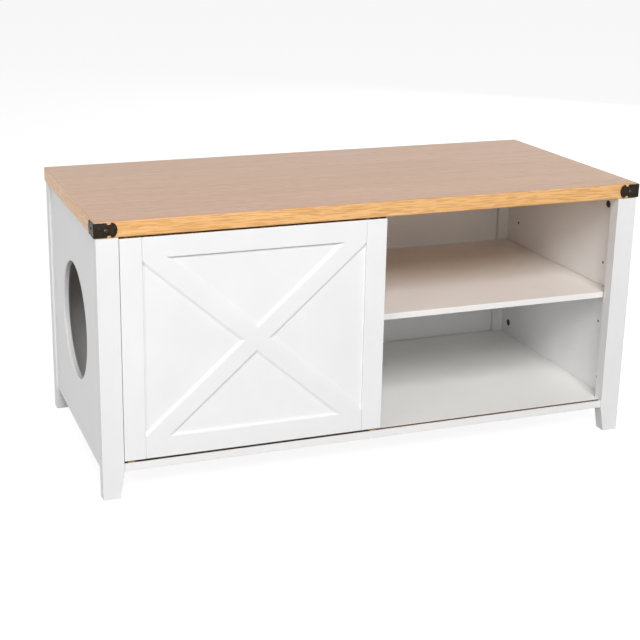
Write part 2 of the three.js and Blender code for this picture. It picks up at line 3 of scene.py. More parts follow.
import bpy
import numpy as np
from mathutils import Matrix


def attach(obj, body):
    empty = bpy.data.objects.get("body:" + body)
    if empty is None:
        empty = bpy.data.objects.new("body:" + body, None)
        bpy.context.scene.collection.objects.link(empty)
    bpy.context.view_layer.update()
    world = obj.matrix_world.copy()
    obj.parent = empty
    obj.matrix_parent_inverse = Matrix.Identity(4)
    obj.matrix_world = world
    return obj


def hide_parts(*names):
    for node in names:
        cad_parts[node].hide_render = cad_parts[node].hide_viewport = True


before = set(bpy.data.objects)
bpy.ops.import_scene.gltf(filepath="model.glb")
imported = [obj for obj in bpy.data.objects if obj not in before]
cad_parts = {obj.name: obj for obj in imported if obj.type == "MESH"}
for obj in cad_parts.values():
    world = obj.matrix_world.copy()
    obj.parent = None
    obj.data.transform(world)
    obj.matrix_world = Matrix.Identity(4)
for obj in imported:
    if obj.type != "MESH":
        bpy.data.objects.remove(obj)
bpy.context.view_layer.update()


# ------------------------------------------------------------------ top board
# Boards glued into one thick top and wrapped in oak-print foil. The foil's grain runs along the
# top, and the same print is glued round all four edges. On the top face the print is drawn darker
# and pinker than on the edges: painted shade and painted sheen, as the top takes less light than
# the front. Two grooves are milled in its underside, for the door's guide pins and for the back panel.

MM = 0.001
TOP_HALF_WIDTH = 550
TOP_FACE = 528
END_STRIP = 0.7  # the depth in which the end strips' print is seen
FACE_STARTS = 1.6  # below the top face, where the edge's print starts to turn into the face's
FACE_FULL = 0.5  # below the top face, where only the face's print is left
GUIDE_GROOVE = ((-508, -244.4, 498.4), (508, -237, 507))
BACK_GROOVE = ((-515, 233.4, 498.4), (515, 239.6, 507))
BAND_LENGTH, BAND_WIDTH = 520, 40
LINE_LENGTH, LINE_WIDTH = 240, 3.4
PORE_LENGTH, PORE_WIDTH = 30, 1.6
# The face's print is the edge's oak drawn darker and pinker: painted shade and painted sheen on the top
# face.
EDGE_PRINT = ("#f5c182", "#f0b979", "#e6ab69", "#cd944f")
FACE_PRINT_AND_PAINTED_SHADE = ("#d5a784", "#cd9e7c", "#c39673", "#b78c68")


def linear(hex_colour):
    """sRGB hex to linear RGBA: below 0.04045 divide by 12.92, else ((c + 0.055) / 1.055) ^ 2.4."""
    srgb = [int(hex_colour[i:i + 2], 16) / 255 for i in (1, 3, 5)]
    return [c / 12.92 if c <= 0.04045 else ((c + 0.055) / 1.055) ** 2.4 for c in srgb] + [1.0]


def add(tree, kind, settings, inputs):
    """Adds a shader node. Each input is a value or another node's output, by name or number."""
    node = tree.nodes.new("ShaderNode" + kind)
    for key, value in settings.items():
        setattr(node, key, value)
    for key, value in inputs.items():
        if isinstance(value, bpy.types.NodeSocket):
            tree.links.new(value, node.inputs[key])
        else:
            node.inputs[key].default_value = value
    return node


def new_material(name):
    """An empty node material, its tree, and the piece's own coordinates in metres."""
    made = bpy.data.materials.new(name)
    made.use_nodes = True
    made.node_tree.nodes.clear()
    tree = made.node_tree
    return made, tree, add(tree, "TexCoord", {}, {}).outputs["Object"]


def inside(tree, position, low, high):
    """1 where position is in the box from low to high, given in mm, and 0 outside: the largest of
    |p - centre| / half over the three axes is compared with 1."""
    low, high = np.array(low) * MM, np.array(high) * MM
    offset = add(tree, "VectorMath", {"operation": "SUBTRACT"}, {0: position, 1: (low + high) / 2})
    scaled = add(tree, "VectorMath", {"operation": "DIVIDE"}, {0: offset.outputs[0], 1: (high - low) / 2})
    size = add(tree, "VectorMath", {"operation": "ABSOLUTE"}, {0: scaled.outputs[0]})
    axes = add(tree, "SeparateXYZ", {}, {0: size.outputs[0]})
    largest = add(tree, "Math", {"operation": "MAXIMUM"}, {0: axes.outputs[0], 1: axes.outputs[1]})
    largest = add(tree, "Math", {"operation": "MAXIMUM"}, {0: largest.outputs[0], 1: axes.outputs[2]})
    return add(tree, "Math", {"operation": "LESS_THAN"}, {0: largest.outputs[0], 1: 1.0}).outputs[0]


def streaks(tree, position, length_mm, width_mm, detail):
    """Noise drawn out along X: cells of length_mm by width_mm."""
    scale = (1000 / length_mm, 1000 / width_mm, 1000 / width_mm)
    mapped = add(tree, "Mapping", {}, {"Vector": position, "Scale": scale})
    return add(tree, "TexNoise", {}, {
        "Vector": mapped.outputs[0], "Scale": 1.0, "Detail": detail, "Roughness": 0.55,
    }).outputs[0]


def bare_board_and_painted_shade(tree, position):
    """The colour of bare fibreboard where it was cut: brown, mottled by fibre bundles of 1 to 2 mm,
    drawn darker than bare board as painted shade in the bores and grooves. Its roughness is given where it
    is used."""
    fibres = add(tree, "TexNoise", {}, {
        "Vector": position, "Scale": 700.0, "Detail": 5.0, "Roughness": 0.7,
    })
    # Both browns are darker than bare board: painted shade in the bores and grooves they line.
    return add(tree, "Mix", {"data_type": "RGBA"}, {
        0: fibres.outputs[0], 6: linear("#5c432d"), 7: linear("#86674a"),
    }).outputs[2]


def softened(tree, radius, normal):
    """A normal that rounds every edge by the radius, in metres, as a foil or a plating does."""
    return add(tree, "Bevel", {"samples": 6}, {"Radius": radius, "Normal": normal}).outputs[0]


def finish_with(made, inputs):
    """The material's shader and its output."""
    tree = made.node_tree
    shader = add(tree, "BsdfPrincipled", {}, inputs)
    add(tree, "OutputMaterial", {}, {"Surface": shader.outputs[0]})
    return made


def dress(made, *nodes):
    """Gives CAD nodes a material."""
    for name in nodes:
        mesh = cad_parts[name].data
        mesh.materials.clear()
        mesh.materials.append(made)


def oak_foil():
    """Decor foil printed as oak, with its pores pressed in and a satin lacquer. Bands 40 mm wide and
    grain lines 3.4 mm wide run along the board. Real pores are 0.3 mm wide, too fine to show, so
    they are drawn 1.6 mm wide. The lacquer mirrors the room at a low angle, which pales the face.
    On the two end strips the print runs across the board, so its coordinates swap places there."""
    made, tree, position = new_material("oak_print_foil_pressed")
    axes = add(tree, "SeparateXYZ", {}, {0: position})
    crosswise = add(tree, "CombineXYZ", {}, {0: axes.outputs[1], 1: axes.outputs[0], 2: axes.outputs[2]})
    end = TOP_HALF_WIDTH - END_STRIP
    between_ends = inside(tree, position, (-end, -300, 490), (end, 300, 540))
    along = add(tree, "Mix", {"data_type": "VECTOR"}, {
        0: between_ends, 4: crosswise.outputs[0], 5: position,
    }).outputs[1]
    bands = streaks(tree, along, BAND_LENGTH, BAND_WIDTH, 3)
    lines = streaks(tree, along, LINE_LENGTH, LINE_WIDTH, 2)
    pores = streaks(tree, along, PORE_LENGTH, PORE_WIDTH, 0)
    # Where the top face begins, the print turns into its darker, pinker copy: painted shade and painted
    # sheen.
    face_painted_shade_share = add(tree, "MapRange", {}, {
        0: axes.outputs[2], 1: (TOP_FACE - FACE_STARTS) * MM, 2: (TOP_FACE - FACE_FULL) * MM, 3: 0.0, 4: 1.0,
    }).outputs[0]

    band_tone = add(tree, "MapRange", {}, {0: bands, 1: 0.36, 2: 0.64, 3: 0.0, 4: 1.0}).outputs[0]
    line_tone = add(tree, "MapRange", {}, {0: lines, 1: 0.38, 2: 0.68, 3: 0.0, 4: 0.55}).outputs[0]
    pore_tone = add(tree, "MapRange", {}, {0: pores, 1: 0.5, 2: 0.58, 3: 0.0, 4: 0.6}).outputs[0]
    prints = []
    for pale, deep, line, pore in (EDGE_PRINT, FACE_PRINT_AND_PAINTED_SHADE):
        base = add(tree, "Mix", {"data_type": "RGBA"}, {0: band_tone, 6: linear(deep), 7: linear(pale)})
        lined = add(tree, "Mix", {"data_type": "RGBA"}, {0: line_tone, 6: base.outputs[2], 7: linear(line)})
        pored = add(tree, "Mix", {"data_type": "RGBA"}, {0: pore_tone, 6: lined.outputs[2], 7: linear(pore)})
        prints.append(pored.outputs[2])
    foil = add(tree, "Mix", {"data_type": "RGBA"}, {0: face_painted_shade_share, 6: prints[0], 7: prints[1]}).outputs[2]

    grooves = [inside(tree, position, *groove) for groove in (GUIDE_GROOVE, BACK_GROOVE)]
    cut = add(tree, "Math", {"operation": "MAXIMUM"}, {0: grooves[0], 1: grooves[1]}).outputs[0]
    colour = add(tree, "Mix", {"data_type": "RGBA"}, {0: cut, 6: foil, 7: bare_board_and_painted_shade(tree, position)})
    satin = add(tree, "MapRange", {}, {0: lines, 1: 0.3, 2: 0.7, 3: 0.27, 4: 0.35}).outputs[0]
    shine = add(tree, "Mix", {}, {0: cut, 2: satin, 3: 0.85})
    relief = add(tree, "Bump", {}, {"Strength": 0.25, "Distance": 0.1 * MM, "Height": pores})
    return finish_with(made, {
        "Base Color": colour.outputs[2], "Roughness": shine.outputs[0], "IOR": 1.5,
        "Normal": softened(tree, 0.5 * MM, relief.outputs[0]),
    })


dress(oak_foil(), "top_board")


# ------------------------------------------------------------------ corner brackets
# Each bracket is one strip of sheet steel, blanked with two bites and rounded ends, folded round
# the top's corner and blackened with an antique finish that is rubbed bronze in places.

TOP_HALF_DEPTH = 249
BRACKET_REACH = 43
BRACKET_HALF_HEIGHT = 13.3
BRACKET_SHEET = 1.2
BRACKET_STAND_OFF = 1.5  # from the board to the sheet's outer face
BRACKET_BEND = 1.9  # the outer radius of the fold
BRACKET_RIM = 0.3  # the rounding of the sheet's edges
BRACKET_MIDDLE = 513  # above the floor
BITE_PLACE = 28  # from the corner
BITE_RADIUS = 4
END_LENGTH = 9.6
END_KEPT_OPEN = 0.998  # the share of the oval end that is drawn, so that it closes on a flat


def closed_grid(rows, columns):
    """Quads of a grid whose columns and rows both close on themselves: each point with its right
    neighbour and the two below them."""
    index = np.arange(rows * columns).reshape(rows, columns)
    right = np.roll(index, -1, axis=1)
    below = np.roll(index, -1, axis=0)
    return np.stack([index, right, np.roll(below, -1, axis=1), below], axis=-1)


def new_piece(name, points, faces, made, slot, replaced):
    """A mesh in mm, smooth shaded, that rides on the cabinet and stands for a CAD node."""
    mesh = bpy.data.meshes.new(name)
    mesh.from_pydata((points * MM).tolist(), [], faces)
    mesh.polygons.foreach_set("use_smooth", np.ones(len(mesh.polygons), bool))
    mesh.materials.append(made)
    mesh.update()
    piece = bpy.data.objects.new(name, mesh)
    bpy.context.scene.collection.objects.link(piece)
    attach(piece, "cabinet")
    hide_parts(replaced)


def bracket_half_height(u):
    """Half the strip's height at u from the corner: straight, less a circle about the bite's place,
    then a half oval that closes at the strip's end."""
    bite = np.sqrt(np.clip(BITE_RADIUS ** 2 - (u - BITE_PLACE) ** 2, 0, None))
    along_end = np.clip(u - (BRACKET_REACH - END_LENGTH), 0, None) / END_LENGTH
    return BRACKET_HALF_HEIGHT * np.sqrt(np.clip(1 - along_end ** 2, 0, None)) - bite


def bracket_strip():
    """The left bracket, as a strip that runs down one flange, turns a quarter circle at the bend and
    runs along the other. Across it, the section is a rectangle with rounded corners, as high as
    bracket_half_height, closed round both faces of the sheet."""
    bite = BITE_PLACE - BITE_RADIUS * np.cos(np.linspace(0, np.pi, 17))
    oval = BRACKET_REACH - END_LENGTH * (1 - END_KEPT_OPEN * np.sin(np.linspace(0, np.pi / 2, 14)))
    straight = np.linspace(3, BITE_PLACE - BITE_RADIUS - 0.1, 11)
    neck = [BITE_PLACE + BITE_RADIUS + 0.6]
    flange = np.unique(np.concatenate([straight, bite, neck, oval]).round(4))
    bend = np.linspace(0, np.pi / 2, 9)
    u = np.concatenate([flange[::-1], np.full(bend.size, BRACKET_BEND), flange])
    run = np.concatenate([flange[::-1] - BRACKET_BEND, np.zeros(bend.size), flange - BRACKET_BEND])
    angle = np.concatenate([np.zeros(flange.size), bend, np.full(flange.size, np.pi / 2)])
    outward = -np.stack([np.cos(angle), np.sin(angle)], axis=1)
    along = np.where((np.arange(u.size) < flange.size)[:, None], [[0.0, 1.0]], [[1.0, 0.0]])

    rim = np.linspace(0, np.pi / 2, 4)
    depth = np.concatenate([
        BRACKET_RIM * (1 - np.cos(rim)), BRACKET_SHEET - BRACKET_RIM * (1 - np.sin(rim)),
    ])
    pull = BRACKET_RIM * np.concatenate([1 - np.sin(rim), 1 - np.cos(rim)])
    depth = np.concatenate([depth, depth[::-1]])
    pull = np.concatenate([pull, pull[::-1]])
    upper = np.repeat([1.0, -1.0], depth.size // 2)

    half = np.maximum(bracket_half_height(u), BRACKET_RIM)
    height = BRACKET_MIDDLE + upper * (half[:, None] - pull)
    corner = np.array([-TOP_HALF_WIDTH, -TOP_HALF_DEPTH]) - BRACKET_STAND_OFF
    centre = corner + BRACKET_BEND + run[:, None] * along
    plan = centre[:, None, :] + (BRACKET_BEND - depth)[None, :, None] * outward[:, None, :]
    rows, columns = height.shape
    sides = closed_grid(rows, columns)[:-1].reshape(-1, 4).tolist()
    ends = [list(range(columns))[::-1], list(range((rows - 1) * columns, rows * columns))]
    return np.concatenate([plan, height[..., None]], axis=2).reshape(-1, 3), sides + ends


def blackened_steel(name, bath, bronze, matt, polished):
    """Steel blackened in a salt bath and oiled: near black with bronze clouds 5 mm across where it is
    rubbed, and a fine tooth from the bath. Roughness runs from matt to polished with the clouds."""
    made, tree, position = new_material(name)
    clouds = add(tree, "TexNoise", {}, {
        "Vector": position, "Scale": 200.0, "Detail": 4.0, "Roughness": 0.6,
    })
    tooth = add(tree, "TexNoise", {}, {
        "Vector": position, "Scale": 900.0, "Detail": 2.0, "Roughness": 0.5,
    })
    rubbed = add(tree, "MapRange", {}, {0: clouds.outputs[0], 1: 0.48, 2: 0.72, 3: 0.0, 4: 1.0})
    colour = add(tree, "Mix", {"data_type": "RGBA"}, {
        0: rubbed.outputs[0], 6: linear(bath), 7: linear(bronze),
    })
    relief = add(tree, "Bump", {}, {"Strength": 0.35, "Distance": 0.15 * MM, "Height": tooth.outputs[0]})
    shine = add(tree, "MapRange", {}, {0: clouds.outputs[0], 1: 0.3, 2: 0.7, 3: matt, 4: polished})
    return finish_with(made, {
        "Base Color": colour.outputs[2], "Metallic": 0.75, "Roughness": shine.outputs[0],
        "Normal": relief.outputs[0],
    })


bracket_points, bracket_faces = bracket_strip()
bracket_steel = blackened_steel("blackened_steel_sheet", "#262119", "#453823", 0.52, 0.36)
mirrored_faces = [face[::-1] for face in bracket_faces]
new_piece(
    "bracket_left", bracket_points, bracket_faces,
    bracket_steel, "black_iron", "corner_bracket_left",
)
new_piece(
    "bracket_right", bracket_points * [-1, 1, 1], mirrored_faces,
    bracket_steel, "black_iron", "corner_bracket_right",
)


# ------------------------------------------------------------------ bracket nails
# Cold-headed nails with a domed head 6 mm across, blackened like the brackets that they hold and
# polished a little by handling. Their steel is drawn lighter than the brackets' as a painted
# highlight, so that each dome carries a small glint.

def turned(profile, steps, origin, axis):
    """A profile of radius and height turned about an axis through origin: the point at angle a is
    origin + height * axis + radius * (cos a * first + sin a * second). Both ends are closed."""
    axis = np.array(axis, float)
    first = np.roll(axis, 1)
    second = np.cross(axis, first)
    angle = np.linspace(0, 2 * np.pi, steps, endpoint=False)[:, None, None]
    radius, height = np.array(profile, float).T[:, None, :, None]
    circle = np.cos(angle) * first + np.sin(angle) * second
    points = (np.array(origin) + height * axis + radius * circle).reshape(-1, 3)
    count = len(profile)
    sides = closed_grid(steps, count)[:, :-1].reshape(-1, 4).tolist()
    rings = np.arange(steps) * count
    return points, sides + [rings.tolist(), (rings + count - 1)[::-1].tolist()]


NAIL_INSET = 20.5  # from the top's corner
NAIL_SEAT = 1.8  # from the board to the head's underside
NAIL_HEAD_RADIUS = 3
NAIL_HEAD_HEIGHT = 1.8
NAIL_SHANK_RADIUS = 1
NAIL_SHANK_LENGTH = 11
NAIL_LENGTH = 13

dome = np.linspace(0, np.pi / 2, 9)
nail_profile = [
    *np.stack([NAIL_HEAD_RADIUS * np.sin(dome) + 0.01, -NAIL_HEAD_HEIGHT * np.cos(dome)], axis=1).tolist(),
    [NAIL_HEAD_RADIUS - 0.1, 0.0], [NAIL_SHANK_RADIUS, 0.0],
    [NAIL_SHANK_RADIUS, NAIL_SHANK_LENGTH], [0.02, NAIL_LENGTH],
]
# Lighter tones than the brackets' steel: a painted highlight, so each nail head glints.
nail_steel_lightened_for_glint = blackened_steel("blackened_steel_nail", "#4a443a", "#7d7466", 0.38, 0.24)
for side, sign in (("left", -1), ("right", 1)):
    front_seat = (sign * (TOP_HALF_WIDTH - NAIL_INSET), -TOP_HALF_DEPTH - NAIL_SEAT, BRACKET_MIDDLE)
    side_seat = (sign * (TOP_HALF_WIDTH + NAIL_SEAT), -TOP_HALF_DEPTH + NAIL_INSET, BRACKET_MIDDLE)
    front_nail = turned(nail_profile, 32, front_seat, (0, 1, 0))
    side_nail = turned(nail_profile, 32, side_seat, (-sign, 0, 0))
    new_piece(f"nail_{side}_front", *front_nail, nail_steel_lightened_for_glint, "black_iron", f"bracket_nail_{side}_front")
    new_piece(f"nail_{side}_side", *side_nail, nail_steel_lightened_for_glint, "black_iron", f"bracket_nail_{side}_side")


# ------------------------------------------------------------------ legs
# Upright fibreboard boards, tapered at the foot and wrapped in satin white foil, a little greyer
# than the door's. The sawn feet and the rear legs' groove for the back panel stay bare.

SAWN_FEET = ((-560, -260, -1), (560, 260, 0.3))
REAR_LEG_GROOVE = ((-514.9, 233, 50), (514.9, 240, 497))
FOIL_ROUNDING = 0.6  # of every edge under the foil
MOULDING_ROUNDING = 4  # of the door's routed flanks


def white_foil(name, cut_boxes, hole_facing=None, moulding=None, whites=("#f0f0f0", "#f4f4f4")):
    """White foil pressed over fibreboard: a satin white between the two whites, with clouds of gloss
    100 mm across and a faint orange peel of 2 mm. Inside the cut boxes, in mm, the bare board shows.
    hole_facing gives a mask and a normal for a part that has its own roundness. Inside the moulding
    box, the thick foil bridges the routed flanks: it rounds them over 4 mm, and its normal stays
    half way between the flank's and that of the door's face."""
    made, tree, position = new_material(name)
    clouds = add(tree, "TexNoise", {}, {
        "Vector": position, "Scale": 9.0, "Detail": 3.0, "Roughness": 0.5,
    })
    peel = add(tree, "TexNoise", {}, {
        "Vector": position, "Scale": 420.0, "Detail": 2.0, "Roughness": 0.5,
    })
    tone = add(tree, "MapRange", {}, {0: clouds.outputs[0], 1: 0.3, 2: 0.7, 3: 0.0, 4: 1.0})
    foil = add(tree, "Mix", {"data_type": "RGBA"}, {
        0: tone.outputs[0], 6: linear(whites[0]), 7: linear(whites[1]),
    }).outputs[2]
    satin = add(tree, "MapRange", {}, {
        0: clouds.outputs[0], 1: 0.3, 2: 0.7, 3: 0.34, 4: 0.42,
    }).outputs[0]
    masks = [inside(tree, position, low, high) for low, high in cut_boxes]
    cut = masks[0]
    for mask in masks[1:]:
        cut = add(tree, "Math", {"operation": "MAXIMUM"}, {0: cut, 1: mask}).outputs[0]
    colour = add(tree, "Mix", {"data_type": "RGBA"}, {0: cut, 6: foil, 7: bare_board_and_painted_shade(tree, position)})
    shine = add(tree, "Mix", {}, {0: cut, 2: satin, 3: 0.85})
    relief = {"Strength": 0.12, "Distance": 0.05 * MM, "Height": peel.outputs[0]}
    radius = FOIL_ROUNDING * MM
    if moulding:
        on_moulding = inside(tree, position, *moulding)
        radius = add(tree, "Mix", {}, {0: on_moulding, 2: radius, 3: MOULDING_ROUNDING * MM}).outputs[0]
    normal = softened(tree, radius, add(tree, "Bump", {}, relief).outputs[0])
    if moulding:
        share = add(tree, "Math", {"operation": "MULTIPLY"}, {0: on_moulding, 1: 0.5})
        bridged = add(tree, "Mix", {"data_type": "VECTOR"}, {
            0: share.outputs[0], 4: normal, 5: (0, -1, 0),
        })
        normal = add(tree, "VectorMath", {"operation": "NORMALIZE"}, {0: bridged.outputs[1]}).outputs[0]
    if hole_facing:
        in_hole, facing = hole_facing(tree, position)
        hole_normal = add(tree, "Bump", {}, relief | {"Normal": facing}).outputs[0]
        normal = add(tree, "Mix", {"data_type": "VECTOR"}, {
            0: in_hole, 4: normal, 5: hole_normal,
        }).outputs[1]
    return finish_with(made, {
        "Base Color": colour.outputs[2], "Roughness": shine.outputs[0], "IOR": 1.48, "Normal": normal,
    })


dress(
    white_foil("white_foil_leg", [SAWN_FEET, REAR_LEG_GROOVE], whites=("#ededed", "#f1f1f1")),
    "leg_front_left", "leg_front_right", "leg_rear_left", "leg_rear_right",
)


# ------------------------------------------------------------------ side panels
# Foiled 12 mm boards drawn against the legs by cam locks. The left one has the cat hole, routed
# and foiled over its rounded rim; the bores for cams, dowels and shelf pins show bare board.

HOLE_MIDDLE = (-537.2, 0, 272.6)
HOLE_MOUTH = 119  # the radius at which the rim has turned into the board's face
HOLE_WALL_HALF = 3  # half the straight part of the wall
LEFT_FRONT_BORES = ((-543, -222, 48), (-531.4, -165, 497))
LEFT_REAR_BORES = ((-543, 165, 48), (-531.4, 222, 497))
LEFT_FOOT_BORES = ((-543, -130, 50), (-531.4, 130, 68))
RIGHT_BORES = ((531.4, -222, 48), (543, 222, 497))


def cat_hole_facing(tree, position):
    """Where the hole's wall faces: at its axis. On the quarter-round rims it turns to the board's
    face: outward from the axis by (r - mouth), and along X by what |x| exceeds the straight wall."""
    middle = np.array(HOLE_MIDDLE) * MM
    offset = add(tree, "VectorMath", {"operation": "SUBTRACT"}, {0: position, 1: middle})
    axes = add(tree, "SeparateXYZ", {}, {0: offset.outputs[0]})
    across = add(tree, "CombineXYZ", {}, {1: axes.outputs[1], 2: axes.outputs[2]})
    radius = add(tree, "VectorMath", {"operation": "LENGTH"}, {0: across.outputs[0]}).outputs["Value"]
    outward = add(tree, "VectorMath", {"operation": "NORMALIZE"}, {0: across.outputs[0]})
    within = add(tree, "Math", {"operation": "SUBTRACT"}, {0: radius, 1: HOLE_MOUTH * MM})
    radial = add(tree, "VectorMath", {"operation": "SCALE"}, {
        0: outward.outputs[0], "Scale": within.outputs[0],
    })
    depth = add(tree, "Math", {"operation": "ABSOLUTE"}, {0: axes.outputs[0]})
    beyond = add(tree, "Math", {"operation": "SUBTRACT"}, {0: depth.outputs[0], 1: HOLE_WALL_HALF * MM})
    beyond = add(tree, "Math", {"operation": "MAXIMUM"}, {0: beyond.outputs[0], 1: 0.0})
    side_of_board = add(tree, "Math", {"operation": "SIGN"}, {0: axes.outputs[0]})
    turn = add(tree, "Math", {"operation": "MULTIPLY"}, {0: beyond.outputs[0], 1: side_of_board.outputs[0]})
    axial = add(tree, "CombineXYZ", {}, {0: turn.outputs[0]})
    facing = add(tree, "VectorMath", {"operation": "ADD"}, {0: radial.outputs[0], 1: axial.outputs[0]})
    facing = add(tree, "VectorMath", {"operation": "NORMALIZE"}, {0: facing.outputs[0]})
    in_hole = add(tree, "Math", {"operation": "LESS_THAN"}, {0: radius, 1: (HOLE_MOUTH - 0.01) * MM})
    return in_hole.outputs[0], facing.outputs[0]


dress(
    white_foil(
        "white_foil_left_side", [LEFT_FRONT_BORES, LEFT_REAR_BORES, LEFT_FOOT_BORES], cat_hole_facing,
    ),
    "side_panel_left",
)
dress(white_foil("white_foil_right_side", [RIGHT_BORES]), "side_panel_right")


# ------------------------------------------------------------------ cam locks
# Die-cast zinc discs with a cross recess for the driver, drawn dark grey-brown clouded with a
# lighter tone. They turn in the side panels' bores and draw the bolts in.

corner_names = [f"{side}_{end}" for side in ("left", "right") for end in ("front", "rear")]


def small_metal(name, dark, light, roughness, metallic):
    """A small metal part: two close tones in clouds 4 mm across, which also mark its surface."""
    made, tree, position = new_material(name)
    clouds = add(tree, "TexNoise", {}, {
        "Vector": position, "Scale": 260.0, "Detail": 4.0, "Roughness": 0.6,
    })
    colour = add(tree, "Mix", {"data_type": "RGBA"}, {
        0: clouds.outputs[0], 6: linear(dark), 7: linear(light),
    })
    relief = add(tree, "Bump", {}, {"Strength": 0.2, "Distance": 0.05 * MM, "Height": clouds.outputs[0]})
    return finish_with(made, {
        "Base Color": colour.outputs[2], "Metallic": metallic, "Roughness": roughness,
        "Normal": softened(tree, 0.3 * MM, relief.outputs[0]),
    })


dress(
    small_metal("die_cast_zinc", "#4b453e", "#6c655b", 0.5, 0.85),
    *(f"cam_{name}_{level}" for name in corner_names for level in ("upper", "lower")),
)


# ------------------------------------------------------------------ cam bolts and partition screws
# Steel, cold headed and rolled, then plated with bright zinc. The bolts are screwed into the legs,
# and the screws go up through the bottom board into the partition's foot.

plated = small_metal("zinc_plated_steel", "#a9adb0", "#c9ccce", 0.3, 1.0)
dress(
    plated, "partition_screw_front", "partition_screw_rear",
    *(f"cam_bolt_{name}_{level}" for name in corner_names for level in ("upper", "lower")),
)


# ------------------------------------------------------------------ bottom board
# One foiled board through both compartments. The saw that cut the door's running groove and the
# partition's housing left bare brown walls, drawn darker than bare board as painted shade, which
# draw a dark line along the board.

RUNNING_GROOVE = ((-520, -244.4, 50), (520, -237, 67))
PARTITION_HOUSING = ((-7.9, -223.5, 60), (7.9, 230, 67))
BOTTOM_DOWEL_BORES = ((-530.8, -130, 55), (530.8, 130, 64.5))

# The bottom board's white is drawn slightly warmer than the door's: painted warm light inside the
# compartments.
dress(
    white_foil(
        "white_foil_bottom_board", [RUNNING_GROOVE, PARTITION_HOUSING, BOTTOM_DOWEL_BORES],
        whites=("#f1f0ee", "#f5f4f2"),
    ),
    "bottom_board",
)


# ------------------------------------------------------------------ partition
# A foiled board between the litter compartment and the shelves, housed in the bottom board and
# drilled for the shelf pins. Its core shows in the bores and at its foot.

PARTITION_CORE = ((-7.3, -222, 66), (7.3, 230, 497))

dress(white_foil("white_foil_partition", [PARTITION_CORE]), "partition")


# ------------------------------------------------------------------ back panel
# A thin sheet of hardboard, foiled white on both faces, that slides into grooves in the rear legs
# and under the top. Its sawn edges are bare.

BACK_SAWN_END = ((-520, 234.2, 40), (-514.2, 238.8, 520))
BACK_SAWN_FOOT = ((-520, 233, 40), (520, 240, 52.4))

dress(white_foil("white_foil_back_panel", [BACK_SAWN_END, BACK_SAWN_FOOT]), "back_panel")


# ------------------------------------------------------------------ shelf
# A 12 mm fibreboard in white foil, drawn slightly warmer than the other boards' as painted warm
# light inside the compartments, laid loose on four pins. Its two ends are sawn bare.

SHELF_LEFT_END = ((8, -218, 284.6), (8.7, 221, 295.8))
SHELF_RIGHT_END = ((530, -218, 284.6), (531, 221, 295.8))

# The shelf's warmer white is painted warm light inside the compartments.
dress(
    white_foil("white_foil_shelf", [SHELF_LEFT_END, SHELF_RIGHT_END], whites=("#f2efec", "#f6f3f0")),
    "shelf",
)


# ------------------------------------------------------------------ shelf pins
# Plain 5 mm steel pins, turned, chamfered and zinc plated, pushed half their length into the
# drilled holes of the partition and the right side panel.

PIN_RADIUS = 2.5
PIN_HALF_LENGTH = 8.0
PIN_CHAMFER = 1.0
PIN_ROUNDING = 0.6
PIN_HEIGHT = 281.4
PIN_FROM_MIDDLE = 176  # towards the front and the rear
PIN_MOUTHS = {"left": 7.5, "right": 531.2}  # where each pin leaves its board, along X

rounded_end = np.stack([
    PIN_RADIUS - PIN_ROUNDING * (1 - np.cos(dome)),
    PIN_HALF_LENGTH - PIN_ROUNDING * (1 - np.sin(dome)),
], axis=1)
pin_profile = [
    [0.02, -PIN_HALF_LENGTH], [PIN_RADIUS - PIN_CHAMFER, -PIN_HALF_LENGTH],
    [PIN_RADIUS, PIN_CHAMFER - PIN_HALF_LENGTH], *rounded_end.tolist(), [0.02, PIN_HALF_LENGTH],
]
for name in corner_names:
    side, end = name.split("_")
    mouth = (PIN_MOUTHS[side], -PIN_FROM_MIDDLE if end == "front" else PIN_FROM_MIDDLE, PIN_HEIGHT)
    pin = turned(pin_profile, 32, mouth, (1 if side == "left" else -1, 0, 0))
    new_piece(f"pin_{name}", *pin, plated, "bright_steel", f"shelf_pin_{name}")


# ------------------------------------------------------------------ dowels
# Beech rod cut to length with chamfered ends, glued into the joints of the legs, the bottom board
# and the partition, which hide it.

def beech_rod():
    """Beech, turned and left bare: pale pinkish brown with flecks 2 mm across."""
    made, tree, position = new_material("beech_rod")
    flecks = add(tree, "TexNoise", {}, {
        "Vector": position, "Scale": 500.0, "Detail": 3.0, "Roughness": 0.6,
    })
    colour = add(tree, "Mix", {"data_type": "RGBA"}, {
        0: flecks.outputs[0], 6: linear("#c6a273"), 7: linear("#dcbd90"),
    })
    return finish_with(made, {"Base Color": colour.outputs[2], "Roughness": 0.65, "IOR": 1.5})


dress(
    beech_rod(), "partition_dowel_front", "partition_dowel_rear",
    *(f"{place}_dowel_{name}" for place in ("top", "bottom") for name in corner_names),
)


# ------------------------------------------------------------------ sliding door
# Two foiled stiles tongued to one middle board. Its X and rails are left standing by a cutter with
# rounded flanks under one pressed foil; the sawn upper and lower edges are bare. The bare upper
# edge is also painted shade: it darkens the line in the gap under the top.

DOOR_SAWN_FOOT = ((-520, -260, 60), (520, -220, 72.75))
# The door's bare upper edge, in the darkened board brown, is painted shade for the gap under the top.
DOOR_BARE_HEAD_AND_SHADE = ((-520, -260, 495.25), (520, -220, 497))
DOOR_MOULDING = ((-460, -250, 78), (-40, -243, 490))

dress(
    white_foil("white_foil_door", [DOOR_SAWN_FOOT, DOOR_BARE_HEAD_AND_SHADE], moulding=DOOR_MOULDING),
    "door_stile_left", "door_stile_right", "door_panel",
)


# ------------------------------------------------------------------ glides and guide pins
# Injection moulded nylon in a waxy tan. The glides carry the door in the floor's groove, and the
# pins keep it upright in the top's groove.

